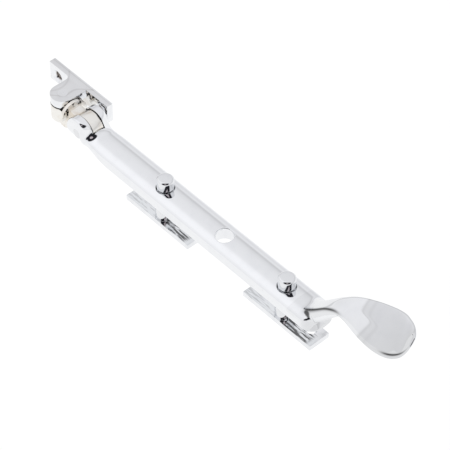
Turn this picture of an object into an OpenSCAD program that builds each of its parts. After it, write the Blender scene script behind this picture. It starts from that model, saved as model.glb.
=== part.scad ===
// Spoon-end casement stay with two stay pins, laid out as on a closed window.
// Origin: centre of the sash plate's back face. +X runs along the arm to the spoon,
// +Y points at the sash, +Z is up. Millimetres.

/* [Sash bracket] */
// Length of the sash plate along X
plate_l = 44; // [38:1:60]
// Height of the sash plate
plate_h = 11; // [9:0.5:14]
// Thickness of the sash plate
plate_t = 3.5; // [2.5:0.5:5]
// Gap between the plate and the flange or head in front of it
plate_gap = 1.8; // [1:0.1:5]
// Thickness of the lug that carries the swivel
lug_t = 4.6; // [3.5:0.1:6]
// Radius of the eye at the end of the lug
eye_r = 6.3; // [5.5:0.1:7.6]
// Distance of the sash screws from the plate's ends
screw_inset = 5.6; // [5:0.1:7]
// Height of the sash screws from the plate's middle
screw_z = -1; // [-2:0.1:1]
// Clear hole for a wood screw
screw_d = 4.2; // [3.5:0.1:5]
// Diameter of the countersink at the face
sink_d = 7.4; // [6:0.1:8.5]

/* [Swivel knuckle] */
// Diameter of the upright swivel rivet
swivel_d = 5; // [4:0.1:6]
// Height of the knuckle's boss
boss_h = 9.5; // [8:0.1:11]
// Radius of the round flange
flange_r = 7.9; // [7:0.1:8.5]
// Thickness of the round flange
flange_t = 1.9; // [1.5:0.1:2.2]
// Gap between the flange and the forked head
neck_gap = 2.85; // [2:0.05:6]
// How far the tongue's barrel stays below the cheeks
tongue_drop = 0.8; // [0.5:0.1:1.5]

/* [Stay arm] */
// Length of the arm from the cross pin to the tip of the nose
bar_l = 164.6; // [140:0.1:200]
// Width of the bar
bar_w = 17; // [15:0.1:20]
// Height of the bar at the middle of its dome
bar_h = 7.5; // [6:0.1:9]
// Rise of the dome over the sides of the bar
dome_h = 1.9; // [1:0.1:2.5]
// Radius of the forked head
head_r = 8.3; // [7.6:0.1:9]
// Width of the forked head
head_w = 15.8; // [14:0.1:17]
// Width of the slot for the tongue
slot_w = 7.3; // [5.5:0.1:9]
// Gap on each side of the tongue, and past its end
tongue_gap = 0.35; // [0.3:0.05:0.6]
// Diameter of the cross rivet
cross_d = 5; // [4:0.1:6]
// Height of the cross rivet above the bar's underside
cross_z = 6.5; // [6:0.1:8]
// Diameter of the three peg holes
hole_d = 9; // [7.5:0.1:10]
// Distance from the last hole to the tip of the nose
hole_end = 25.2; // [22:0.1:32]
// Distance between neighbouring holes
hole_pitch = 41.6; // [38:0.1:46]

/* [Spoon handle] */
// Reach of the handle beyond the nose
spoon_l = 47.8; // [40:0.5:56]
// Rise of the handle's tip above the bar's underside
spoon_rise = 32; // [20:0.5:40]
// Half width of the spoon at its widest
spoon_half = 10.6; // [8:0.1:13]
// Half thickness of the spoon
spoon_half_t = 1.7; // [1.3:0.1:2.5]
// Twist of the spoon about its own length, far edge raised
spoon_twist = 48; // [0:1:60]

/* [Stay pins] */
// Length of a pin plate
base_l = 44.5; // [40:0.5:54]
// Width of a pin plate
base_w = 12; // [11:0.5:16]
// Thickness of a pin plate
base_t = 2.9; // [2:0.1:4]
// Height of the peg's foot above the plate
foot_h = 11.1; // [8:0.1:14]
// Width of the shoulder that the bar rests on, past the edge of its hole
seat_w = 0.7; // [0.5:0.1:1.2]
// Gap all round the peg's head in its hole
peg_gap = 0.2; // [0.1:0.05:0.5]
// Depth of the groove round the peg's waist
groove = 0.7; // [0.3:0.1:1]
// Height of the peg's head above the bar
head_h = 6; // [5:0.1:8]
// Distance of a pin plate's screws from its ends
base_inset = 7.25; // [5.5:0.05:8.5]
// How far a pin plate's screws sit behind the peg, out of sight under the bar
base_back = 1.9; // [0:0.1:2]
// Clear hole for a pin plate's wood screw
base_screw_d = 3.8; // [3:0.1:4.2]
// Diameter of a pin plate's countersink
base_sink_d = 6.4; // [5.5:0.1:6.6]

/* [Hidden] */
fine = 96;
gap = 0.3;
over = 1;
plate_top = plate_h / 2;
plate_front = -plate_t;
axis_y = plate_front - plate_gap - max(flange_r, head_w / 2);
screw_half = plate_l / 2 - screw_inset;
lug_z = plate_top - lug_t;
boss_top = lug_z - gap;
boss_z = boss_top - boss_h;
bar_z = boss_z - 0.55;
cross_y_z = bar_z + cross_z;
bar_top = bar_z + bar_h;
flange_x = eye_r + 0.45;
tongue_w = slot_w - 2 * tongue_gap;
tongue_r = head_r - tongue_drop;
pin_x = flange_x + flange_t + neck_gap + head_r;
bar_x0 = pin_x + 4;
taper_x = pin_x + 18;
bar_x1 = pin_x + bar_l;
base_z = bar_z - foot_h - base_t;
hole_3 = bar_x1 - hole_end;
hole_2 = hole_3 - hole_pitch;
hole_1 = hole_2 - hole_pitch;
head_d = hole_d - 2 * peg_gap;
waist_d = head_d - 2 * groove;
foot_d = hole_d + 2 * seat_w;
base_screw = base_l / 2 - base_inset;
swivel_fit = 0.1;
cross_fit = 0.1;
slot_end = pin_x + tongue_r + tongue_gap;
nose_r = 6.5;
corner_r = norm([bar_w / 2, cross_z]);
dome_r = (pow(bar_w / 2, 2) + pow(dome_h, 2)) / (2 * dome_h);

// Cylinder along Y, centred on y = 0.
module along_y(r, w) {
    rotate([90, 0, 0])
        cylinder(r = r, h = w, center = true, $fn = fine);
}

// Countersunk screw hole: the wide end at z = 0, the shank going down.
module screw_hole(depth, clear_d, wide_d) {
    sink_h = (wide_d - clear_d) / 2;
    translate([0, 0, -depth - over])
        cylinder(d = clear_d, h = depth + 2 * over, $fn = fine);
    translate([0, 0, -sink_h])
        cylinder(d1 = clear_d, d2 = wide_d, h = sink_h, $fn = fine);
    cylinder(d = wide_d, h = over, $fn = fine);
}

// ---------------------------------------------------------------- sash bracket

// Plan of the lug: the eye, the web back to the plate and its two corner fillets.
module lug_plan() {
    web = -axis_y - plate_t / 2;
    left = eye_r;
    fillet = 2.5;
    translate([0, axis_y])
        circle(r = eye_r, $fn = fine);
    translate([-left, axis_y])
        square([left + eye_r, web]);
    difference() {
        translate([-left - fillet, plate_front - fillet])
            square([fillet + over, fillet + plate_t / 2]);
        translate([-left - fillet, plate_front - fillet])
            circle(r = fillet, $fn = fine);
    }
}

module sash_bracket() {
    color("gainsboro")
    difference() {
        union() {
            translate([-plate_l / 2, plate_front, -plate_h / 2])
                cube([plate_l, plate_t, plate_h]);
            translate([0, 0, lug_z])
                linear_extrude(lug_t)
                    lug_plan();
        }
        translate([0, axis_y, lug_z - over])
            cylinder(d = swivel_d, h = lug_t + 2 * over, $fn = fine);
        for (side = [-1, 1])
            translate([side * screw_half, plate_front, screw_z])
                rotate([90, 0, 0])
                    screw_hole(plate_t, screw_d, sink_d);
    }
}

// ------------------------------------------------------------------ swivel pin

module swivel_pin() {
    head_t = 0.7;
    clear = 0.1;
    color("silver")
    translate([0, axis_y, boss_z - clear - head_t]) {
        cylinder(d = swivel_d, h = plate_top - boss_z + clear + head_t, $fn = fine);
        cylinder(d1 = swivel_d, d2 = swivel_d + 2 * head_t, h = head_t, $fn = fine);
    }
}

// -------------------------------------------------------------- swivel knuckle

module swivel_knuckle() {
    bridge_h = boss_h - 1;
    neck_h = 10;
    color("gainsboro")
    translate([0, axis_y, 0])
    difference() {
        union() {
            translate([0, 0, boss_z])
                cylinder(r = eye_r, h = boss_h, $fn = fine);
            translate([0, -eye_r + 1, boss_z + 0.5])
                cube([flange_x + over / 2, 2 * eye_r - 2, bridge_h]);
            translate([flange_x, 0, cross_y_z])
                rotate([0, 90, 0])
                    cylinder(r = flange_r, h = flange_t, $fn = fine);
            translate([flange_x + flange_t - over, -tongue_w / 2, cross_y_z - neck_h / 2])
                cube([pin_x - flange_x - flange_t + over, tongue_w, neck_h]);
            translate([pin_x, 0, cross_y_z])
                along_y(tongue_r, tongue_w);
        }
        translate([0, 0, boss_z - over])
            cylinder(d = swivel_d + swivel_fit, h = boss_h + 2 * over, $fn = fine);
        translate([pin_x, 0, cross_y_z])
            along_y(cross_d / 2 + cross_fit / 2, tongue_w + 2 * over);
    }
}

// ------------------------------------------------------------------- hinge pin

module hinge_pin() {
    color("silver")
    translate([pin_x, axis_y, cross_y_z])
        along_y(cross_d / 2, head_w);
}

// -------------------------------------------------------------------- stay arm

// Section of the bar across its length: flat bottom, upright sides, shallow dome.
module bar_section() {
    intersection() {
        translate([-bar_w / 2, 0])
            square([bar_w, bar_h]);
        translate([0, bar_h - dome_r])
            circle(r = dome_r, $fn = 4 * fine);
    }
}

// Plan of the bar: a slight taper to the head, and a nose with two rounded corners.
module bar_plan() {
    straight = bar_x1 - nose_r;
    polygon([
        [bar_x0, -head_w / 2],
        [pin_x + head_r, -head_w / 2],
        [taper_x, -bar_w / 2],
        [straight, -bar_w / 2],
        [straight, bar_w / 2],
        [taper_x, bar_w / 2],
        [pin_x + head_r, head_w / 2],
        [bar_x0, head_w / 2]
    ]);
    translate([straight - over, nose_r - bar_w / 2])
        square([nose_r + over, bar_w - 2 * nose_r]);
    for (side = [-1, 1])
        translate([straight, side * (bar_w / 2 - nose_r)])
            circle(r = nose_r, $fn = fine);
}

module bar_body() {
    intersection() {
        translate([bar_x0, 0, bar_z])
            rotate([90, 0, 90])
                linear_extrude(bar_l + over)
                    bar_section();
        translate([0, 0, bar_z - over])
            linear_extrude(bar_h + 2 * over)
                bar_plan();
        bar_root();
    }
}

// Limits of the bar: a cone about the head's axis that opens to the full section.
module bar_root() {
    translate([bar_x0, 0, cross_y_z])
        rotate([0, 90, 0])
            cylinder(r1 = head_w / 2, r2 = corner_r, h = taper_x - bar_x0, $fn = fine);
    translate([taper_x - 0.01, -bar_w, bar_z - over])
        cube([bar_l, 2 * bar_w, bar_h + 2 * over]);
}

// Side view of the forked head: disc, flat underside and the sweep onto the bar.
module head_profile() {
    sweep = 3;
    foot = head_r + sweep;
    difference() {
        union() {
            translate([pin_x, cross_y_z])
                circle(r = head_r, $fn = fine);
            translate([pin_x, bar_z])
                square([foot, bar_h - dome_h]);
            difference() {
                translate([pin_x, bar_z + bar_h - dome_h - over])
                    square([foot, sweep + over]);
                translate([pin_x + foot, bar_top - dome_h + sweep])
                    circle(r = sweep, $fn = fine);
            }
        }
        translate([pin_x - 2 * head_r, bar_z - head_r])
            square([4 * head_r, head_r]);
    }
}

// The cheeks are flat above the cross rivet and round below it, like the flange.
module head_body() {
    long = 2 * head_r + 4;
    intersection() {
        translate([0, head_w / 2, 0])
            rotate([90, 0, 0])
                linear_extrude(head_w)
                    head_profile();
        union() {
            translate([pin_x - head_r - over, -head_w / 2, cross_y_z])
                cube([long, head_w, 2 * head_r]);
            translate([pin_x - head_r - over, 0, cross_y_z])
                rotate([0, 90, 0])
                    cylinder(r = head_w / 2, h = long, $fn = fine);
        }
    }
}

// Stations of the handle: where along it, sideways sweep, rise, half width,
// half thickness and turn, each as a share of the full value.
stations = [
    [-0.20, 0.00, 0.13, 0.62, 2.20, 0.00],
    [-0.14, 0.04, 0.17, 0.56, 2.20, 0.04],
    [-0.08, 0.12, 0.235, 0.49, 2.10, 0.12],
    [-0.02, 0.28, 0.32, 0.42, 1.95, 0.28],
    [0.04, 0.45, 0.415, 0.37, 1.80, 0.48],
    [0.12, 0.62, 0.525, 0.40, 1.50, 0.76],
    [0.18, 0.70, 0.57, 0.49, 1.35, 0.90],
    [0.24, 0.76, 0.6, 0.60, 1.25, 0.97],
    [0.305, 0.79, 0.62, 0.71, 1.15, 1.00],
    [0.37, 0.82, 0.632, 0.80, 1.10, 1.00],
    [0.44, 0.85, 0.642, 0.88, 1.05, 1.00],
    [0.51, 0.88, 0.655, 0.95, 1.00, 1.00],
    [0.585, 0.90, 0.672, 1.00, 1.00, 1.00],
    [0.66, 0.92, 0.695, 1.03, 1.00, 1.00],
    [0.735, 0.94, 0.727, 1.03, 1.00, 1.00],
    [0.81, 0.97, 0.77, 0.98, 1.00, 1.00],
    [0.87, 0.98, 0.815, 0.88, 0.95, 1.00],
    [0.92, 1.00, 0.865, 0.73, 0.90, 1.00],
    [0.96, 1.00, 0.915, 0.54, 0.84, 1.00],
    [0.985, 1.00, 0.96, 0.34, 0.75, 1.00],
    [1.00, 1.00, 0.985, 0.12, 0.50, 1.00]
];
spoon_sweep = 5;
around = 28;

function place(s) = [bar_x1 + s[0] * spoon_l, axis_y + s[1] * spoon_sweep, bar_z + s[2] * spoon_rise];
function heading(i) =
    let (a = place(stations[max(i - 1, 0)]), b = place(stations[min(i + 1, len(stations) - 1)]))
    (b - a) / norm(b - a);
function ring(i) =
    let (
        s = stations[i],
        c = place(s),
        t = heading(i),
        turn = s[5] * spoon_twist,
        v0 = [0, cos(turn), sin(turn)],
        v1 = v0 - t * (v0 * t),
        v = v1 / norm(v1),
        n = cross(t, v)
    )
    [for (k = [0 : around - 1])
        let (a = k * 360 / around)
        c + v * (s[3] * spoon_half * cos(a)) + n * (s[4] * spoon_half_t * sin(a))];

module handle_body() {
    rows = len(stations);
    points = [for (i = [0 : rows - 1]) each ring(i)];
    sides = [
        for (i = [0 : rows - 2])
            for (k = [0 : around - 1])
                let (a = i * around + k, b = i * around + (k + 1) % around)
                each [[a, a + around, b], [b, a + around, b + around]]
    ];
    start = [for (k = [0 : around - 1]) k];
    finish = [for (k = [0 : around - 1]) rows * around - 1 - k];
    polyhedron(points = points, faces = concat(sides, [start, finish]));
}

module stay_arm() {
    color("gainsboro")
    difference() {
        union() {
            translate([0, axis_y, 0])
                bar_body();
            translate([0, axis_y, 0])
                head_body();
            handle_body();
        }
        translate([pin_x - 2 * head_r, axis_y - slot_w / 2, bar_z - head_r])
            cube([slot_end - pin_x + 2 * head_r, slot_w, 4 * head_r]);
        translate([pin_x, axis_y, cross_y_z])
            along_y(cross_d / 2, head_w + 2 * over);
        for (x = [hole_1, hole_2, hole_3])
            translate([x, axis_y, bar_z - over])
                cylinder(d = hole_d, h = bar_h + 2 * over, $fn = fine);
    }
}

// ------------------------------------------------------------------- stay pins

module pin_plate(x) {
    translate([x, axis_y, base_z])
    difference() {
        translate([-base_l / 2, -base_w / 2, 0])
            cube([base_l, base_w, base_t]);
        for (side = [-1, 1])
            translate([side * base_screw, base_back, base_t])
                screw_hole(base_t, base_screw_d, base_sink_d);
        translate([0, 0, -over])
            cylinder(d = waist_d, h = base_t + 2 * over, $fn = fine);
    }
}

// Turned peg: riveted stem, foot with the shoulder, waist and round head.
module stay_peg(x) {
    shoulder = base_t + foot_h;
    top = shoulder + bar_h + head_h;
    neck = shoulder + bar_h + 0.6;
    wide = top - 2.2;
    translate([x, axis_y, base_z])
        rotate_extrude($fn = fine)
            polygon([
                [0, 0],
                [waist_d / 2, 0],
                [waist_d / 2, base_t],
                [foot_d / 2, base_t],
                [foot_d / 2, shoulder],
                [head_d / 2, shoulder],
                [head_d / 2, neck - 2],
                [waist_d / 2, neck],
                [head_d / 2, wide],
                [head_d / 2 - 0.2, wide + 0.9],
                [head_d / 2 - 0.9, top - 0.5],
                [head_d / 2 - 2.2, top - 0.1],
                [0, top]
            ]);
}

module pin_plate_1() {
    color("gainsboro")
        pin_plate(hole_1);
}

module stay_peg_1() {
    color("silver")
        stay_peg(hole_1);
}

module pin_plate_2() {
    color("gainsboro")
        pin_plate(hole_3);
}

module stay_peg_2() {
    color("silver")
        stay_peg(hole_3);
}

sash_bracket();
swivel_pin();
swivel_knuckle();
hinge_pin();
stay_arm();
pin_plate_1();
stay_peg_1();
pin_plate_2();
stay_peg_2();
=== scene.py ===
"""Looks of a chromed casement stay: a sash bracket, a swivel knuckle, a spoon-ended arm with peg
holes, and two pegs on screw plates. Metres, in the CAD frame: +X runs to the spoon, +Z is up."""

import math

import bmesh
import bpy
import numpy as np
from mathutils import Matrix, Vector


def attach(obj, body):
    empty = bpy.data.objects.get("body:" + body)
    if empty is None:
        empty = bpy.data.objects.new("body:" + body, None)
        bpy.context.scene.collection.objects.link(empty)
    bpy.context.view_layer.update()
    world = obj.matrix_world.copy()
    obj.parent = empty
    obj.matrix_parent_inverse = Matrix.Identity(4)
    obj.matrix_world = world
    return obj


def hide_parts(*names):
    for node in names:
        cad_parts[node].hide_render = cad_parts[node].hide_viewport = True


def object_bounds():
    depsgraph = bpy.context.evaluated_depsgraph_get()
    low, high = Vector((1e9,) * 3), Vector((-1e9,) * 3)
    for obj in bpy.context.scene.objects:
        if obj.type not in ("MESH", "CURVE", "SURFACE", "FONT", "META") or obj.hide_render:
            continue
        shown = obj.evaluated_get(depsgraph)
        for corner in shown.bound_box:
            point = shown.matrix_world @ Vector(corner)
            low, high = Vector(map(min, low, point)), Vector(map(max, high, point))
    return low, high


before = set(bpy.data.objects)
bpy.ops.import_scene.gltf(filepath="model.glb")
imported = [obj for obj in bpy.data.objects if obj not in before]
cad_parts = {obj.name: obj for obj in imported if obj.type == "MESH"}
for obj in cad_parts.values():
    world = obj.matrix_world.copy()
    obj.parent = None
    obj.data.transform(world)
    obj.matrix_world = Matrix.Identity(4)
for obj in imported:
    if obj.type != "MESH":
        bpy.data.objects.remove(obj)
cad_low, cad_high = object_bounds()


# ---------------------------------------------------------------------------------------------
# Stay pegs: two turned chromed pegs, each riveted into its plate. The bar rests on the shoulder
# of the foot, and the round head stands through the bar's hole.

MM = 0.001
AXIS_Y = -13.2                 # the middle of the bar, the pegs and the swivel
FRAME_Z = -23.45               # the window frame's face, under the plates
PEGS = ((1, 76.0), (2, 159.2))


def piece_from_grid(name, points, closed_across=True, smooth_angle=38.0):
    """A mesh object from an array of points (rows, columns, 3) in millimetres. Each row joins the
    next, the columns join round if closed_across, and rows that shrink to a point are closed."""
    rows, cols = points.shape[:2]
    index = np.arange(rows * cols).reshape(rows, cols)
    right = np.roll(index, -1, axis=1) if closed_across else index[:, 1:]
    left = index if closed_across else index[:, :-1]
    quads = np.stack([left[:-1], right[:-1], right[1:], left[1:]], axis=-1).reshape(-1, 4)
    mesh = bpy.data.meshes.new(name)
    mesh.from_pydata((points.reshape(-1, 3) * MM).tolist(), [], quads.tolist())
    piece = bpy.data.objects.new(name, mesh)
    bpy.context.scene.collection.objects.link(piece)
    return finish_mesh(piece, smooth_angle)


def finish_mesh(piece, smooth_angle):
    """Merges doubles, drops empty faces, turns the faces outwards and shades them smooth up to an
    angle between faces, past which an edge stays sharp."""
    bm = bmesh.new()
    bm.from_mesh(piece.data)
    bmesh.ops.remove_doubles(bm, verts=bm.verts, dist=2e-6)
    bmesh.ops.dissolve_degenerate(bm, edges=bm.edges, dist=1e-6)
    bmesh.ops.recalc_face_normals(bm, faces=bm.faces)
    limit = math.radians(smooth_angle)
    for edge in bm.edges:
        edge.smooth = len(edge.link_faces) == 2 and edge.calc_face_angle(0.0) < limit
    for face in bm.faces:
        face.smooth = True
    bm.to_mesh(piece.data)
    bm.free()
    return piece


def vertex_rows(mesh, kind):
    """The mesh's vertex places ("co") or normals ("normal") as an array of rows of three."""
    values = np.zeros(len(mesh.vertices) * 3)
    mesh.vertices.foreach_get(kind, values)
    return values.reshape(-1, 3)


def store_on_vertices(mesh, name, values):
    """Keeps one number for each vertex, for the material to read."""
    made = mesh.attributes.new(name, "FLOAT", "POINT")
    made.data.foreach_set("value", values.astype(np.float32))


def wear_attribute(piece, reach=3):
    """Stores 'edge' on each vertex: how far the surface bends outwards there, which is the mean
    of normal . (vertex - neighbour) / distance, spread a few steps over the mesh, from 0 to 1."""
    mesh = piece.data
    place, normal = vertex_rows(mesh, "co"), vertex_rows(mesh, "normal")
    ends = np.zeros(len(mesh.edges) * 2, dtype=np.int32)
    mesh.edges.foreach_get("vertices", ends)
    a, b = ends.reshape(-1, 2).T
    gap = place[a] - place[b]
    size = np.maximum(np.linalg.norm(gap, axis=1), 1e-9)
    count = np.bincount(ends, minlength=len(place)).clip(1)
    bend = np.bincount(a, (normal[a] * gap).sum(1) / size, len(place))
    bend -= np.bincount(b, (normal[b] * gap).sum(1) / size, len(place))
    edge = np.clip(bend / count * 3.0, 0, 1)
    for _ in range(reach):
        total = np.bincount(a, edge[b], len(place)) + np.bincount(b, edge[a], len(place))
        edge = np.maximum(edge, 0.55 * total / count + 0.45 * edge)
    store_on_vertices(mesh, "edge", edge)


def peg_points(x, turns=96):
    """The peg's outline (radius, height) turned round its own upright axis: radius and height
    are linear between outline points, with each corner rounded by its own small arc."""
    foot_r, head_r = 5.2, 4.3
    plate_top = FRAME_Z + 2.9
    shoulder = FRAME_Z + 14.0
    top = shoulder + 13.5
    corners = [
        # radius, height, rounding
        (0.0, FRAME_Z + 0.02, 0.0),
        (3.5, FRAME_Z + 0.02, 0.2),
        (3.5, plate_top, 0.0),
        (foot_r, plate_top, 0.15),
        (foot_r, shoulder, 0.35),
        (head_r, shoulder, 0.1),
        (head_r, shoulder + 5.4, 0.3),
        (3.6, shoulder + 6.1, 0.3),
        (3.6, shoulder + 6.8, 0.3),
        (head_r - 0.02, shoulder + 7.6, 0.35),
        (head_r, top - 0.9, 0.9),
        (3.4, top - 0.14, 0.9),
        (0.0, top, 0.0),
    ]
    outline = rounded_outline(corners)
    turn = np.linspace(0, 2 * np.pi, turns, endpoint=False)
    ring = np.stack([np.cos(turn), np.sin(turn)], axis=-1)
    points = np.zeros((len(outline), turns, 3))
    points[:, :, :2] = outline[:, None, :1] * ring[None] + np.array([x, AXIS_Y])
    points[:, :, 2] = outline[:, None, 1]
    return points


def rounded_outline(corners, steps=7):
    """A line through corners (r, z, cut). At each corner the line stops cut short of it on both
    sides, and a quadratic curve with the corner as its middle point joins the two ends."""
    out = [np.array(corners[0][:2])]
    for before, here, after in zip(corners[:-2], corners[1:-1], corners[2:]):
        p0, p, p1 = (np.array(c[:2], float) for c in (before, here, after))
        if here[2] <= 0:
            out.append(p)
            continue
        d0, d1 = p0 - p, p1 - p
        cut = min(here[2], 0.48 * np.linalg.norm(d0), 0.48 * np.linalg.norm(d1))
        a = p + d0 / np.linalg.norm(d0) * cut
        b = p + d1 / np.linalg.norm(d1) * cut
        t = np.linspace(0, 1, steps)[:, None]
        out.extend((1 - t) ** 2 * a + 2 * t * (1 - t) * p + t ** 2 * b)
    out.append(np.array(corners[-1][:2]))
    return np.array(out)


def polish_group():
    """Node group for polished chrome. It puts out a roughness, a bump height and a tint mask:
    fine rubbing lines and tiny pits over a slow wave, with the edges a little duller."""
    group = bpy.data.node_groups.new("polish_marks", "ShaderNodeTree")
    for name in ("Fine Scale", "Wave Scale", "Rough Low", "Rough High"):
        group.interface.new_socket(name, in_out="INPUT", socket_type="NodeSocketFloat")
    group.interface.new_socket("Stretch", in_out="INPUT", socket_type="NodeSocketVector")
    for name in ("Roughness", "Height", "Haze"):
        group.interface.new_socket(name, in_out="OUTPUT", socket_type="NodeSocketFloat")
    nodes, links = group.nodes, group.links
    given = nodes.new("NodeGroupInput")
    out = nodes.new("NodeGroupOutput")
    place = nodes.new("ShaderNodeTexCoord")
    lines = nodes.new("ShaderNodeMapping")
    links.new(place.outputs["Object"], lines.inputs["Vector"])
    links.new(given.outputs["Stretch"], lines.inputs["Scale"])
    rub = nodes.new("ShaderNodeTexNoise")
    rub.inputs["Detail"].default_value = 4.0
    rub.inputs["Roughness"].default_value = 0.65
    links.new(lines.outputs["Vector"], rub.inputs["Vector"])
    links.new(given.outputs["Fine Scale"], rub.inputs["Scale"])
    wave = nodes.new("ShaderNodeTexNoise")
    wave.inputs["Detail"].default_value = 1.5
    links.new(place.outputs["Object"], wave.inputs["Vector"])
    links.new(given.outputs["Wave Scale"], wave.inputs["Scale"])
    haze = nodes.new("ShaderNodeTexNoise")
    haze.inputs["Detail"].default_value = 3.0
    haze.inputs["Scale"].default_value = 160.0
    links.new(place.outputs["Object"], haze.inputs["Vector"])
    edge = nodes.new("ShaderNodeAttribute")
    edge.attribute_name = "edge"
    mixed = nodes.new("ShaderNodeMath")
    mixed.operation = "MULTIPLY_ADD"
    mixed.inputs[1].default_value = 0.6
    links.new(edge.outputs["Fac"], mixed.inputs[0])
    links.new(rub.outputs["Fac"], mixed.inputs[2])
    span = nodes.new("ShaderNodeMapRange")
    span.inputs["From Min"].default_value = 0.35
    span.inputs["From Max"].default_value = 1.1
    links.new(mixed.outputs[0], span.inputs["Value"])
    links.new(given.outputs["Rough Low"], span.inputs["To Min"])
    links.new(given.outputs["Rough High"], span.inputs["To Max"])
    height = nodes.new("ShaderNodeMath")
    height.operation = "MULTIPLY_ADD"
    height.inputs[1].default_value = 0.02
    links.new(rub.outputs["Fac"], height.inputs[0])
    links.new(wave.outputs["Fac"], height.inputs[2])
    links.new(span.outputs["Result"], out.inputs["Roughness"])
    links.new(height.outputs[0], out.inputs["Height"])
    links.new(haze.outputs["Fac"], out.inputs["Haze"])
    return group


POLISH = polish_group()


def chrome(name, bright, dull, stretch, fine=900.0, wave=70.0, rough=(0.035, 0.09), bump=0.00002):
    """Chrome plate as a material: bright where it is clean, dull where it is hazed or worn along
    an edge, with the shared polish marks in its roughness and bump."""
    material = bpy.data.materials.new(name)
    material.use_nodes = True
    nodes, links = material.node_tree.nodes, material.node_tree.links
    shader = nodes["Principled BSDF"]
    shader.inputs["Metallic"].default_value = 1.0
    marks = nodes.new("ShaderNodeGroup")
    marks.node_tree = POLISH
    for name, value in (("Fine Scale", fine), ("Wave Scale", wave), ("Rough Low", rough[0]),
                        ("Rough High", rough[1]), ("Stretch", stretch)):
        marks.inputs[name].default_value = value
    tone = nodes.new("ShaderNodeMix")
    tone.data_type = "RGBA"
    tone.inputs["A"].default_value = (*bright, 1)
    tone.inputs["B"].default_value = (*dull, 1)
    haze = nodes.new("ShaderNodeMapRange")
    haze.inputs["From Min"].default_value = 0.45
    haze.inputs["From Max"].default_value = 0.75
    links.new(marks.outputs["Haze"], haze.inputs["Value"])
    links.new(haze.outputs["Result"], tone.inputs["Factor"])
    # The 'shade' mix is painted shade: it darkens the colour towards near black where a material feeds
    # it a mask of painted shade or painted dark reflections.
    shade = nodes.new("ShaderNodeMix")
    shade.name = "shade"
    shade.data_type = "RGBA"
    shade.inputs["Factor"].default_value = 0.0
    shade.inputs["B"].default_value = (0.02, 0.018, 0.018, 1)
    links.new(tone.outputs["Result"], shade.inputs["A"])
    links.new(shade.outputs["Result"], shader.inputs["Base Color"])
    links.new(marks.outputs["Roughness"], shader.inputs["Roughness"])
    lift = nodes.new("ShaderNodeBump")
    lift.inputs["Strength"].default_value = 1.0
    lift.inputs["Distance"].default_value = bump
    links.new(marks.outputs["Height"], lift.inputs["Height"])
    links.new(lift.outputs["Normal"], shader.inputs["Normal"])
    return material


def step_between(material, value, low, high, to=1.0):
    """A node that goes smoothly from 0 where the value is at low to a share where it is at high."""
    node = material.node_tree.nodes.new("ShaderNodeMapRange")
    node.interpolation_type = "SMOOTHSTEP"
    node.inputs["From Min"].default_value = low
    node.inputs["From Max"].default_value = high
    node.inputs["To Max"].default_value = to
    material.node_tree.links.new(value, node.inputs["Value"])
    return node.outputs["Result"]


def node_math(owner, operation, *given):
    """One math node of a material or world, whose inputs are sockets or plain numbers."""
    node = owner.node_tree.nodes.new("ShaderNodeMath")
    node.operation = operation
    for slot, value in zip(node.inputs, given):
        if hasattr(value, "is_output"):
            owner.node_tree.links.new(value, slot)
        else:
            slot.default_value = value
    return node.outputs[0]


def object_place(material):
    """The X, Y and Z sockets of the place on the object."""
    nodes = material.node_tree.nodes
    place = nodes.new("ShaderNodeTexCoord")
    parts = nodes.new("ShaderNodeSeparateXYZ")
    material.node_tree.links.new(place.outputs["Object"], parts.inputs["Vector"])
    return parts.outputs["X"], parts.outputs["Y"], parts.outputs["Z"]


def shade_with(material, value):
    """Lets a value from 0 to 1 darken the material's colour with painted shade."""
    material.node_tree.links.new(value, material.node_tree.nodes["shade"].inputs["Factor"])


peg_chrome = chrome("peg_chrome", (0.80, 0.81, 0.825), (0.75, 0.76, 0.78), (1, 1, 6))
for number, x in PEGS:
    peg = piece_from_grid(f"turned_peg_{number}", peg_points(x))
    wear_attribute(peg)
    peg.data.materials.append(peg_chrome)
    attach(peg, f"stay_pin_{number}")
    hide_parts(f"stay_peg_{number}")


# ---------------------------------------------------------------------------------------------
# Pin plates: two flat chromed plates screwed to the window frame, stamped from strip with
# broken edges and two countersunk holes each.

def eased_copy(name, node, width):
    """A closed copy of a CAD node with every sharp edge eased by a round of that width."""
    piece = bpy.data.objects.new(name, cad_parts[node].data.copy())
    bpy.context.scene.collection.objects.link(piece)
    piece.data.materials.clear()
    for held in ("custom_normal", "sharp_face", "sharp_edge"):
        if held in piece.data.attributes:
            piece.data.attributes.remove(piece.data.attributes[held])
    bm = bmesh.new()
    bm.from_mesh(piece.data)
    bmesh.ops.remove_doubles(bm, verts=bm.verts, dist=2e-6)
    bmesh.ops.dissolve_limit(bm, angle_limit=math.radians(1.0), verts=bm.verts, edges=bm.edges)
    bm.to_mesh(piece.data)
    bm.free()
    ease = piece.modifiers.new("eased_edges", "BEVEL")
    ease.width = width * MM
    ease.segments = 3
    ease.limit_method = "ANGLE"
    ease.angle_limit = math.radians(32)
    ease.use_clamp_overlap = True
    apply_modifiers(piece)
    return finish_mesh(piece, 32.0)


def apply_modifiers(piece):
    """Replaces the piece's mesh by the one its modifiers make, and removes them."""
    bpy.context.view_layer.update()
    done = piece.evaluated_get(bpy.context.evaluated_depsgraph_get())
    mesh = bpy.data.meshes.new_from_object(done)
    piece.modifiers.clear()
    piece.data = mesh


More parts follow.
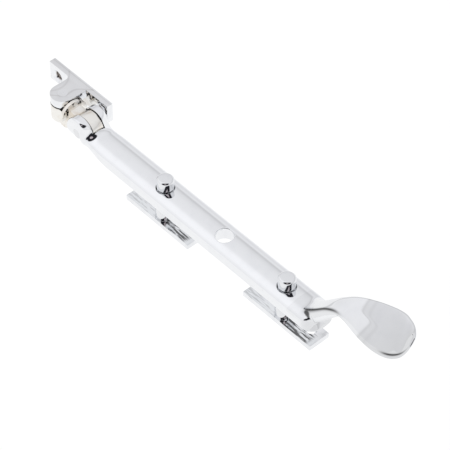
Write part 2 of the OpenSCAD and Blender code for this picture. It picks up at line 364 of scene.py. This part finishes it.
def painted_reflection_streaks(material, peg_x):
    """Painted dark reflections in streaks along the plate's top, standing in for the shaded underside
    of the
    bar that the plate mirrors: heavy past the peg and faint before it. They are a drawn-out noise, and
    end short of the plate's spoon end and of the strip under the bar."""
    nodes, links = material.node_tree.nodes, material.node_tree.links
    x, y, z = object_place(material)
    plate_top = FRAME_Z + 2.9
    place = nodes.new("ShaderNodeTexCoord")
    drawn = nodes.new("ShaderNodeMapping")
    drawn.inputs["Scale"].default_value = (0.22, 1.6, 1.0)
    links.new(place.outputs["Object"], drawn.inputs["Vector"])
    streak = nodes.new("ShaderNodeTexNoise")
    streak.inputs["Scale"].default_value = 700.0
    streak.inputs["Detail"].default_value = 3.0
    links.new(drawn.outputs["Vector"], streak.inputs["Vector"])
    heavy = step_between(material, streak.outputs["Fac"], 0.60, 0.44, 0.85)
    faint = step_between(material, streak.outputs["Fac"], 0.50, 0.38, 0.22)
    past = step_between(material, x, (peg_x + 3.5) * MM, (peg_x + 5.5) * MM)
    before = node_math(material, "SUBTRACT", 1.0, past)
    top = step_between(material, z, (plate_top - 0.2) * MM, (plate_top - 0.07) * MM)
    faint_part = node_math(material, "MULTIPLY", faint, before)
    both = node_math(material, "MULTIPLY_ADD", heavy, past, faint_part)
    before_end = step_between(material, x, (peg_x + 21) * MM, (peg_x + 18) * MM)
    near_side = step_between(material, y, (AXIS_Y + 1.5) * MM, (AXIS_Y + 0.5) * MM)
    for part in (top, before_end, near_side):
        both = node_math(material, "MULTIPLY", both, part)
    shade_with(material, both)


for number, x in PEGS:
    plate_chrome = chrome(f"plate_chrome_{number}", (0.85, 0.86, 0.875), (0.78, 0.79, 0.81),
                          (0.2, 1.5, 1))
    # Painted dark reflection streaks on the plate's top.
    painted_reflection_streaks(plate_chrome, x)
    plate = eased_copy(f"screw_plate_{number}", f"pin_plate_{number}", 0.35)
    wear_attribute(plate, 1)
    plate.data.materials.append(plate_chrome)
    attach(plate, f"stay_pin_{number}")
    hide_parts(f"pin_plate_{number}")


# ---------------------------------------------------------------------------------------------
# Sash bracket: one casting with an upright plate and a lug, polished and chromed, and the
# upright rivet that carries the swivel, filed flush with the lug before plating.

def painted_shade_and_reflections_on_lug(material):
    """Painted shade and painted reflections on the casting: brown painted shade in the plate's two
    holes and on the flat top, which is painted darker than the walls. The top has two faint painted
    reflection lines, x = 1.28 + 0.537 t - 1.5 sin(0.42 (t - 1.7)) and x = -3.3 - 0.06 (t - 0.7)^2 with
    t = y + 12, all in millimetres, and one along the plate with a paler painted strip behind it."""
    def reckon(operation, *given):
        return node_math(material, operation, *given)
    x, y, z = object_place(material)
    hole_x, hole_z = 16.4, -1.0
    beside = reckon("POWER", reckon("SUBTRACT", reckon("ABSOLUTE", x), hole_x * MM), 2.0)
    above = reckon("POWER", reckon("SUBTRACT", z, hole_z * MM), 2.0)
    from_axis = reckon("SQRT", reckon("ADD", beside, above))
    in_hole = step_between(material, from_axis, 2.75 * MM, 2.2 * MM, 0.8)
    # Painted shade: the flat top darker than the walls, with painted reflection lines laid on it below.
    on_top = step_between(material, z, 5.0 * MM, 5.4 * MM, 0.15)
    across = reckon("MULTIPLY", x, 1 / MM)
    t = reckon("MULTIPLY_ADD", y, 1 / MM, 12.0)
    swell = reckon("SINE", reckon("MULTIPLY_ADD", t, 0.42, -0.714))
    middle_line = reckon("MULTIPLY_ADD", swell, -1.5, reckon("MULTIPLY_ADD", t, 0.537, 1.28))
    bow = reckon("SUBTRACT", t, 0.7)
    edge_line = reckon("MULTIPLY_ADD", reckon("MULTIPLY", bow, bow), -0.06, -3.3)
    for line, strength in ((middle_line, 0.9), (edge_line, 0.7)):
        off_line = reckon("ABSOLUTE", reckon("SUBTRACT", across, line))
        reflection_line = step_between(material, off_line, 1.0, 0.1, strength)
        on_top = reckon("MULTIPLY_ADD", reflection_line, reckon("MINIMUM", on_top, 0.15), on_top)
    off_back = reckon("ABSOLUTE", reckon("ADD", y, 1.0 * MM))
    back_line = step_between(material, off_back, 0.5 * MM, 0.1 * MM, 0.6)
    back_strip = step_between(material, y, -0.9 * MM, -0.6 * MM, -0.6)
    back_tone = reckon("ADD", reckon("ADD", back_line, back_strip), 1.0)
    shade_with(material, reckon("ADD", in_hole, reckon("MULTIPLY", on_top, back_tone)))
    # The brown of the painted shade in the holes and on the top.
    material.node_tree.nodes["shade"].inputs["B"].default_value = (0.12, 0.085, 0.06, 1)


bracket_chrome = chrome("bracket_chrome", (0.87, 0.88, 0.895), (0.83, 0.84, 0.86), (1, 1, 1), 900, 45,
                        (0.03, 0.08), 0.0003)
painted_shade_and_reflections_on_lug(bracket_chrome)
bracket = eased_copy("bracket_casting", "sash_bracket", 0.45)
wear_attribute(bracket, 1)
bracket.data.materials.append(bracket_chrome)
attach(bracket, "bracket")
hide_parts("sash_bracket")

rivet_steel = chrome("rivet_steel", (0.78, 0.785, 0.80), (0.74, 0.745, 0.76), (1, 1, 1), 600, 240,
                     (0.05, 0.12), 0.00002)
for node in ("swivel_pin", "hinge_pin"):
    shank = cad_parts[node]
    shank.data.materials.clear()
    shank.data.materials.append(rivet_steel)


# ---------------------------------------------------------------------------------------------
# Swivel knuckle: a small casting under the lug, with a boss round the upright rivet, a round
# flange, and the tongue that the cross rivet holds between the arm's cheeks.

def painted_gap_shade(material):
    """Painted shade in the dark gap between the lug and the boss, and in the one between the tongue's
    near side and the arm's cheek."""
    x, y, z = object_place(material)
    in_gap = step_between(material, z, -0.15 * MM, 0.15 * MM, 0.95)
    at_boss = step_between(material, x, 6.45 * MM, 6.3 * MM)
    under_lug = node_math(material, "MULTIPLY", in_gap, at_boss)
    at_side = step_between(material, y, (AXIS_Y - 2.75) * MM, (AXIS_Y - 3.1) * MM, 0.8)
    on_tongue = step_between(material, x, 13.5 * MM, 14.5 * MM)
    beside_cheek = node_math(material, "MULTIPLY", at_side, on_tongue)
    shade_with(material, node_math(material, "MAXIMUM", under_lug, beside_cheek))


knuckle_chrome = chrome("knuckle_chrome", (0.87, 0.855, 0.82), (0.74, 0.66, 0.57), (1, 1, 1))
painted_gap_shade(knuckle_chrome)
knuckle = eased_copy("knuckle_casting", "swivel_knuckle", 0.3)
wear_attribute(knuckle, 1)
knuckle.data.materials.append(knuckle_chrome)
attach(knuckle, "knuckle")
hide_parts("swivel_knuckle")


# ---------------------------------------------------------------------------------------------
# Stay arm: one casting from the forked head along the domed bar to the twisted neck and the
# spoon. It is polished all over and chromed, with three drilled peg holes and a milled slot.

BAR_Z = -9.45                  # the bar's flat underside
BAR_H, BAR_HALF = 7.5, 8.5     # the bar's height to the top of its dome, and half its width
DOME_R = 19.963
PIN_X, PIN_Z = 19.8, -2.95     # the cross rivet's axis
HEAD_R, HEAD_HALF = 8.3, 7.9   # the forked head's disc, and half the width over its cheeks
NOSE_X, NOSE_R = 184.4, 6.5
HANDLE_L, HANDLE_RISE, HANDLE_SWEEP = 47.8, 32.0, 5.0
SPOON_HALF, SPOON_THICK, SPOON_TURN = 10.6, 1.7, 48.0
SPOON = np.array([
    # along, sideways, rise, half width, half thickness and turn, as shares of the full values
    [-0.42, 0.00, 0.12, 0.10, 0.10, 0.00],
    [-0.34, 0.00, 0.115, 0.30, 0.60, 0.00],
    [-0.27, 0.00, 0.12, 0.58, 1.60, 0.00],
    [-0.20, 0.00, 0.13, 0.62, 2.15, 0.00],
    [-0.14, 0.04, 0.17, 0.56, 2.20, 0.04],
    [-0.08, 0.12, 0.235, 0.49, 2.10, 0.12],
    [-0.02, 0.28, 0.32, 0.42, 1.95, 0.28],
    [0.04, 0.45, 0.415, 0.37, 1.80, 0.48],
    [0.12, 0.62, 0.525, 0.40, 1.50, 0.76],
    [0.18, 0.70, 0.57, 0.49, 1.35, 0.90],
    [0.24, 0.76, 0.6, 0.60, 1.25, 0.97],
    [0.305, 0.79, 0.62, 0.71, 1.15, 1.00],
    [0.37, 0.82, 0.632, 0.80, 1.10, 1.00],
    [0.44, 0.85, 0.642, 0.88, 1.05, 1.00],
    [0.51, 0.88, 0.655, 0.95, 1.00, 1.00],
    [0.585, 0.90, 0.672, 1.00, 1.00, 1.00],
    [0.66, 0.92, 0.695, 1.03, 1.00, 1.00],
    [0.735, 0.94, 0.727, 1.03, 1.00, 1.00],
    [0.81, 0.97, 0.77, 0.98, 1.00, 1.00],
    [0.87, 0.98, 0.815, 0.88, 0.95, 1.00],
    [0.92, 1.00, 0.865, 0.73, 0.70, 1.00],
    [0.96, 1.00, 0.915, 0.54, 0.58, 1.00],
    [0.985, 1.00, 0.96, 0.34, 0.48, 1.00],
    [1.00, 1.00, 0.985, 0.12, 0.30, 1.00],
    [1.002, 1.00, 0.99, 0.0, 0.0, 1.00],
])


def spline(values, steps, soften):
    """A smooth line through evenly spaced values, one column each: cubic pieces whose slopes are
    half the gap between neighbours, then averaged over a short stretch by a bell-shaped weight."""
    slope = np.gradient(values, axis=0)
    n = (len(values) - 1) * steps + 1
    u = np.linspace(0, len(values) - 1, n)
    i = np.minimum(u.astype(int), len(values) - 2)
    t = (u - i)[:, None]
    out = ((2 * t ** 3 - 3 * t ** 2 + 1) * values[i] + (t ** 3 - 2 * t ** 2 + t) * slope[i]
           + (3 * t ** 2 - 2 * t ** 3) * values[i + 1] + (t ** 3 - t ** 2) * slope[i + 1])
    reach = int(3 * soften * steps)
    weight = np.exp(-0.5 * (np.arange(-reach, reach + 1) / (soften * steps)) ** 2)
    weight /= weight.sum()
    head = 2 * out[0] - out[reach:0:-1]
    tail = 2 * out[-1] - out[-2:-reach - 2:-1]
    padded = np.concatenate([head, out, tail])
    return np.stack([np.convolve(padded[:, k], weight, "valid") for k in range(out.shape[1])], -1)


def arm_spine():
    """Rows of the arm from the head to the spoon's tip: centre, forward direction, half width and
    half thickness of the handle's oval, and its turn. Along the bar the centre runs straight."""
    handle = spline(SPOON, 9, 0.35)
    along, side, rise, half, thick, turn = handle.T
    centre = np.stack([NOSE_X + along * HANDLE_L, side * HANDLE_SWEEP, BAR_Z + rise * HANDLE_RISE], -1)
    centre[-1] = centre[-2] + (centre[-2] - centre[-3]) * 0.2
    forward = np.gradient(centre, axis=0)
    forward /= np.linalg.norm(forward, axis=1)[:, None]
    level = np.clip((centre[:, 0] - 164.0) / 10.0, 0, 1)[:, None]
    forward = forward * level + np.array([1.0, 0, 0]) * (1 - level)
    forward /= np.linalg.norm(forward, axis=1)[:, None]
    bend = np.linspace(0.02, 0.5 * np.pi, 40)
    x = np.concatenate([PIN_X - HEAD_R * np.cos(bend), np.arange(20.3, 40, 0.45),
                        np.arange(40, centre[0, 0] - 0.6, 1.1)])
    z = PIN_Z + (-5.85 - PIN_Z) * np.clip((x - 22) / 14, 0, 1)
    z[x > 36] = centre[0, 2] + (-5.85 - centre[0, 2]) * np.clip((158 - x[x > 36]) / 30, 0, 1)
    bar = np.stack([x, 0 * x, z], -1)
    ahead = np.tile([1.0, 0, 0], (len(x), 1))
    none = np.full(len(x), 0.05)
    return (np.concatenate([bar, centre]), np.concatenate([ahead, forward]),
            np.concatenate([none, half * SPOON_HALF]), np.concatenate([none, thick * SPOON_THICK]),
            np.radians(np.concatenate([0 * x, turn * SPOON_TURN])))


def across_spine(forward, turn):
    """The handle's width direction, level turned by its twist and square to forward, and the
    direction out of its upper face."""
    across = np.stack([0 * turn, np.cos(turn), np.sin(turn)], -1)
    across -= forward * (across * forward).sum(1)[:, None]
    across /= np.linalg.norm(across, axis=1)[:, None]
    return across, np.cross(forward, across)


def soft_max(a, b, k):
    """The larger of a and b, rounded over a distance k where they are nearly equal."""
    h = np.clip(k - np.abs(a - b), 0, None) / k
    return np.maximum(a, b) + h * h * k / 4


def soft_min(a, b, k):
    """The smaller of a and b, rounded over a distance k where they are nearly equal."""
    return -soft_max(-a, -b, k)


def bar_depth(p):
    """Below 0 inside the head and bar. The bar is its side walls, flat underside, shallow dome and
    rounded nose; the head is a disc round the cross rivet, round below; a soft fillet joins them."""
    x, y, z = p[..., 0], p[..., 1], p[..., 2]
    grow = np.clip((x - 28.1) / 9.7, 0, 1)
    half = HEAD_HALF + (BAR_HALF - HEAD_HALF) * grow * grow * (3 - 2 * grow)
    dome = np.hypot(y, z - (BAR_Z + BAR_H - DOME_R)) - DOME_R
    nose_x = np.clip(x - (NOSE_X - NOSE_R), 0, None)
    nose_y = np.clip(np.abs(y) - (BAR_HALF - NOSE_R), 0, None)
    lean = 0.6 * (z - BAR_Z) * np.clip(nose_x / 4.0, 0, 1)
    nose = np.hypot(nose_x, nose_y) - NOSE_R + lean
    nose = np.where(x < NOSE_X - NOSE_R, np.abs(y) - BAR_HALF, nose)
    side = np.maximum(np.abs(y) - half, nose)
    under = BAR_Z - z
    cone = np.hypot(y, z - PIN_Z) - (HEAD_HALF + 0.2 * (x - 23.8))
    ease = 1.3 + 0.6 * np.clip((x - 172) / 10, 0, 1)
    bar = soft_max(dome, side, ease)
    bar = soft_max(bar, under, 1.0)
    bar = soft_max(bar, cone, 1.5)
    bar = np.maximum(bar, 23.8 - x)
    disc = np.hypot(x - PIN_X, z - PIN_Z) - HEAD_R
    low = np.hypot(y, z - PIN_Z) - HEAD_HALF
    cheek = np.where(z > PIN_Z, np.abs(y) - HEAD_HALF, low)
    broad = np.clip((x - PIN_X - 1.5) / 4.8, 0, 1)
    head = soft_max(disc, cheek, 1.5 + 6.5 * broad * broad)
    head = soft_max(head, under, 0.8)
    return soft_min(head, bar, 3.2)


def closed_ends(rows):
    """The rows of points with one more at each end, drawn together at the mean of the end row."""
    first = rows[:1].mean(axis=1, keepdims=True) + 0 * rows[:1]
    last = rows[-1:].mean(axis=1, keepdims=True) + 0 * rows[-1:]
    return np.concatenate([first, rows, last])


def arm_skin(around=176):
    """Each row lies in a plane across the spine. Along every ray from the spine, the bar's surface
    is found by halving, the handle's oval is exact, and the skin is the larger, softly joined. The
    points of a row are then spaced evenly along it, closer together where it bends."""
    centre, forward, half, thick, turn = arm_spine()
    across, up = across_spine(forward, turn)
    fan = np.linspace(0, 2 * np.pi, 1080, endpoint=False)
    ray = (across[:, None] * np.cos(fan)[None, :, None] + up[:, None] * np.sin(fan)[None, :, None])
    low = np.zeros(ray.shape[:2])
    high = np.full(ray.shape[:2], 22.0)
    for _ in range(30):
        middle = 0.5 * (low + high)
        inside = bar_depth(centre[:, None] + ray * middle[..., None]) < 0
        low = np.where(inside, middle, low)
        high = np.where(inside, high, middle)
    bar = low
    along = (centre[:, 0] - NOSE_X) / HANDLE_L
    power = (2.25 + 2.2 * np.exp(-((along + 0.02) / 0.17) ** 2))[:, None]
    oval = ((np.abs(np.cos(fan)) / half.clip(1e-3)[:, None]) ** power
            + (np.abs(np.sin(fan)) / thick.clip(1e-3)[:, None]) ** power) ** (-1 / power)
    reach = soft_max(bar, oval, 0.9)
    reach = np.where(bar < 0.01, oval, reach)
    points = centre[:, None] + ray * reach[..., None]
    step = np.roll(points, -1, axis=1) - points
    length = np.linalg.norm(step, axis=-1).clip(1e-9)
    heading = step / length[..., None]
    bend = np.arccos(np.clip((heading * np.roll(heading, 1, axis=1)).sum(-1), -1, 1))
    pace = length / length.sum(1)[:, None] + 0.9 * np.clip(bend, 0, 0.5) / (2 * np.pi)
    weight = np.hanning(25)
    wide = np.concatenate([pace[:, -12:], pace, pace[:, :12]], axis=1)
    pace = np.apply_along_axis(lambda r: np.convolve(r, weight / weight.sum(), "valid"), 1, wide)
    travelled = np.concatenate([np.zeros((len(pace), 1)), np.cumsum(pace, 1)], 1)
    travelled /= travelled[:, -1:]
    wanted = np.linspace(0, 1, around, endpoint=False)
    closed = np.concatenate([points, points[:, :1]], axis=1)
    rows = [np.stack([np.interp(wanted, t, row[:, k]) for k in range(3)], -1)
            for t, row in zip(travelled, closed)]
    return closed_ends(np.array(rows)) + np.array([0, AXIS_Y, 0])


def cut(piece, cutters):
    """Takes the cutters out of the piece, one exact difference each, and removes them."""
    for cutter in cutters:
        knife = piece.modifiers.new("cut", "BOOLEAN")
        knife.operation = "DIFFERENCE"
        knife.solver = "EXACT"
        knife.object = cutter
    apply_modifiers(piece)
    for cutter in cutters:
        bpy.data.objects.remove(cutter)


def hole_cutter(x, radius=4.5, ease=0.35, turns=96):
    """A drill through the bar whose wall flares to the surface in a quarter round at both ends;
    the upper flare follows the height of the dome round the hole."""
    turn = np.linspace(0, 2 * np.pi, turns, endpoint=False)
    top = BAR_Z + BAR_H - DOME_R + np.sqrt(DOME_R ** 2 - ((radius + ease) * np.sin(turn)) ** 2)
    bow = np.radians([0, 20, 40, 58, 72])
    out = ease * (1 - np.cos(bow))
    rise = ease * np.sin(bow)
    out = np.append(out, out[-1] + 1.0)
    rise = np.append(rise, rise[-1] + 0.35)
    wide = radius + np.concatenate([out[::-1], out])[:, None]
    height = np.concatenate([BAR_Z + ease - rise[::-1, None] + 0 * turn, top - ease + rise[:, None]])
    points = np.stack([x + wide * np.cos(turn), wide * np.sin(turn) + AXIS_Y, height], -1)
    return piece_from_grid("hole_cutter", closed_ends(points))


def slot_cutter():
    """The slot for the tongue: a block from before the head to a square end behind the rivet."""
    start, end = -1.0, 27.65
    near, far = AXIS_Y - 3.65, AXIS_Y + 3.65
    ring = np.array([[start, near], [end, near], [end, far], [start, far]])
    points = np.array([np.column_stack([ring, np.full(4, z)]) for z in (-20.0, 20.0)])
    return piece_from_grid("slot_cutter", closed_ends(points), smooth_angle=20)


def rivet_cutter(turns=64):
    """The cross rivet's hole through both cheeks."""
    turn = np.linspace(0, 2 * np.pi, turns, endpoint=False)
    ring = np.stack([PIN_X + 2.52 * np.cos(turn), 0 * turn, PIN_Z + 2.52 * np.sin(turn)], -1)
    points = np.array([ring + [0, AXIS_Y - 12, 0], ring + [0, AXIS_Y + 12, 0]])
    return piece_from_grid("rivet_cutter", closed_ends(points))


def fade(value, at, width):
    """Goes from 1 to 0 as the value passes a place: 1 / (1 + exp((value - at) / width))."""
    return 1 / (1 + np.exp((value - at) / width))


def band(value, at, width):
    """A bell round a place: exp(-((value - at) / width)^2)."""
    return np.exp(-((value - at) / width) ** 2)


def handle_shade(piece):
    """Stores 'shade' on each vertex from its share s along the handle and c across it: painted
    reflections.
    The spoon is painted greyer past a wavy line, with a painted dark line along its lower rim and the
    neck's ridge; the nose's front is painted a little grey, and a short dark painted hook runs down
    from the ridge's start."""
    co = vertex_rows(piece.data, "co") / MM - np.array([0, AXIS_Y, 0])
    centre, forward, half, thick, turn = arm_spine()
    keep = centre[:, 0] > 170
    centre, forward, half, thick, turn = (a[keep] for a in (centre, forward, half, thick, turn))
    near = np.zeros(len(co), int)
    on = co[:, 0] > 168
    gap = ((co[on][:, None] - centre[None]) * forward[None]).sum(-1)
    away = np.abs(co[on][:, None, 0] - centre[None, :, 0])
    near[on] = np.argmin(np.abs(gap) + np.where(away > 12, 99, 0), axis=1)
    across, up = across_spine(forward, turn)
    off = co - centre[near]
    c = (off * across[near]).sum(1) / half[near].clip(0.5)
    t = (off * up[near]).sum(1)
    s = (centre[near, 0] - NOSE_X) / HANDLE_L
    line = 0.37 + 0.145 * fade(c, 0.12, 0.05) - 0.08 * np.clip(0.1 - c, 0, 1.1)
    grey = 0.15 * fade(line, s, 0.009) + 0.05
    grey += 0.12 * band(s, line, 0.016) + 0.05 * band(s, line + 0.08, 0.02)
    rim = 0.85 * band(c, -0.84, 0.045) * fade(0.72, s, 0.02) * fade(s, 0.93, 0.02)
    ridge = 0.9 * band(c, -0.72 - 0.1 * s, 0.16) * fade(-0.16, s, 0.012) * fade(s, 0.14, 0.02)
    front_top = -3.2 + 0.9 * np.clip(co[:, 0] - 183, 0, 99)
    front = 0.15 * fade(177.5, co[:, 0], 1.0) * fade(s, 0.2, 0.03) * fade(co[:, 2], front_top, 0.5)
    hook = 0 * s
    for place, reach in (((176.8, -4.9, -1.3), 1.2), ((177.8, -5.2, -1.5), 1.25),
                         ((178.6, -5.4, -2.2), 0.8), ((179.2, -5.7, -2.8), 0.6)):
        away = np.linalg.norm(co - place, axis=1)
        hook = np.maximum(hook, 0.9 * fade(away, reach, 0.1))
    shade = np.where(on & (t > 0), np.maximum(grey + rim + ridge, front), front)
    store_on_vertices(piece.data, "shade", np.maximum(shade, hook).clip(0, 1))


arm = piece_from_grid("stay_casting", arm_skin())
cut(arm, [hole_cutter(x) for x in (76.0, 117.6, 159.2)] + [slot_cutter(), rivet_cutter()])
finish_mesh(arm, 38.0)
wear_attribute(arm, 2)
handle_shade(arm)
arm_chrome = chrome("arm_chrome", (0.86, 0.87, 0.885), (0.83, 0.84, 0.86), (0.25, 1, 1), 700, 45,
                    (0.02, 0.06))
# The arm's colour darkens by the stored painted reflections.
handle_tone = arm_chrome.node_tree.nodes.new("ShaderNodeAttribute")
handle_tone.attribute_name = "shade"
shade_with(arm_chrome, handle_tone.outputs["Fac"])
arm.data.materials.append(arm_chrome)
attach(arm, "arm")
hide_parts("stay_arm")


# ---------------------------------------------------------------------------------------------
# Studio: a pale floor under the plates, a plain white surround with a grey ceiling, and the dark
# opening that the camera looks through. Nothing here is part of the object.

def stage_sheet(name, corners, strength, diffuse):
    """A flat white card through four corners, in metres, that glows and takes some light."""
    mesh = bpy.data.meshes.new(name)
    mesh.from_pydata(corners, [], [(0, 1, 2, 3)])
    card = bpy.data.objects.new(name, mesh)
    bpy.context.scene.collection.objects.link(card)
    material = bpy.data.materials.new(name)
    material.use_nodes = True
    shader = material.node_tree.nodes["Principled BSDF"]
    shader.inputs["Base Color"].default_value = (diffuse, diffuse, diffuse, 1)
    shader.inputs["Roughness"].default_value = 0.9
    shader.inputs["Specular IOR Level"].default_value = 0.0
    shader.inputs["Emission Color"].default_value = (1, 1, 1, 1)
    shader.inputs["Emission Strength"].default_value = strength
    mesh.materials.append(material)
    return card


pin_travel = 0.0305
floor_z = cad_low.z - pin_travel      # clears the pins when they are drawn out of the bar
floor_corners = [(x, y, floor_z) for x, y in ((-3, -3), (3, -3), (3, 3), (-3, 3))]
floor = stage_sheet("studio_floor", floor_corners, 0.88, 0.2)

world = bpy.data.worlds.new("studio_surround")
bpy.context.scene.world = world
world.use_nodes = True
world_nodes, world_links = world.node_tree.nodes, world.node_tree.links
world_nodes.clear()
direction = world_nodes.new("ShaderNodeTexCoord").outputs["Generated"]
parts = world_nodes.new("ShaderNodeSeparateXYZ")
world_links.new(direction, parts.inputs["Vector"])


def sky_ramp(stops, value):
    """A grey tone for a value, straight between (value, tone) stops."""
    node = world_nodes.new("ShaderNodeValToRGB")
    ramp = node.color_ramp
    for end, (where, tone) in zip(ramp.elements, (stops[0], stops[-1])):
        end.position = where
        end.color = (tone, tone, tone, 1)
    for where, tone in stops[1:-1]:
        ramp.elements.new(where).color = (tone, tone, tone * 1.01, 1)
    world_links.new(value, node.inputs["Fac"])
    return node.outputs["Color"]


def sky_mix(share, under, over, blend="MIX"):
    """One colour laid over another in the surround; each input is a socket or a plain value."""
    node = world_nodes.new("ShaderNodeMix")
    node.data_type = "RGBA"
    node.blend_type = blend
    for name, value in (("Factor", share), ("A", under), ("B", over)):
        if hasattr(value, "is_output"):
            world_links.new(value, node.inputs[name])
        else:
            node.inputs[name].default_value = value
    return node.outputs["Result"]


def around_camera(outer, inner):
    """From 0 at the outer angle to 1 at the inner angle from the way to the camera's place."""
    node = world_nodes.new("ShaderNodeMapRange")
    node.inputs["From Min"].default_value = math.cos(math.radians(outer))
    node.inputs["From Max"].default_value = math.cos(math.radians(inner))
    world_links.new(toward.outputs["Value"], node.inputs["Value"])
    return node.outputs["Result"]


arch = node_math(world, "DIVIDE", node_math(world, "ARCTAN2", parts.outputs["Z"], parts.outputs["Y"]),
                 math.pi)
over_arm = sky_ramp([(0.0, 1.05), (0.052, 1.03), (0.078, 0.925), (0.104, 0.835), (0.13, 0.835),
                     (0.154, 0.89), (0.172, 0.86), (0.188, 0.72), (0.204, 0.68), (0.226, 0.775),
                     (0.252, 0.828), (0.3, 0.87), (0.323, 0.88), (0.42, 0.906), (0.444, 0.935),
                     (0.469, 1.01), (0.493, 1.05), (0.53, 1.06), (0.566, 1.045), (0.594, 1.02),
                     (0.817, 0.97), (1.0, 0.95)], arch)
along = node_math(world, "MULTIPLY_ADD", parts.outputs["X"], 0.5, 0.5)
end_wall = sky_ramp([(0.0, 0.93), (0.10, 0.95), (0.2, 1.0), (0.7, 1.0), (0.9, 0.93), (1.0, 0.9)], along)
toward = world_nodes.new("ShaderNodeVectorMath")
toward.operation = "DOT_PRODUCT"
toward.inputs[1].default_value = (0.5061, -0.4539, 0.7333)
world_links.new(direction, toward.inputs[0])
walls = sky_mix(1.0, over_arm, end_wall, "MULTIPLY")
opening = sky_mix(around_camera(38, 33), walls, (0.02, 0.02, 0.025, 1))
with_patch = sky_mix(around_camera(12, 10), opening, (0.56, 0.5, 0.52, 1))
camera_ray = world_nodes.new("ShaderNodeLightPath").outputs["Is Camera Ray"]
sky = world_nodes.new("ShaderNodeBackground")
world_links.new(sky_mix(camera_ray, with_patch, (1, 1, 1, 1)), sky.inputs["Color"])
sky_out = world_nodes.new("ShaderNodeOutputWorld")
world_links.new(sky.outputs["Background"], sky_out.inputs["Surface"])

lens = bpy.data.cameras.new("photo_camera")
lens.lens = 165.8
lens.sensor_width = 36.0
lens.shift_x = 0.0524
lens.shift_y = 0.0178
lens.clip_start = 0.05
lens.clip_end = 20.0
camera = bpy.data.objects.new("photo_camera", lens)
bpy.context.scene.collection.objects.link(camera)
target = Vector((0.1014, -0.0132, -0.01365))
camera.location = Vector((0.5942, -0.4552, 0.7004))
camera.rotation_euler = (target - camera.location).to_track_quat("-Z", "Y").to_euler()
bpy.context.scene.camera = camera

bpy.context.scene.view_settings.view_transform = "Standard"
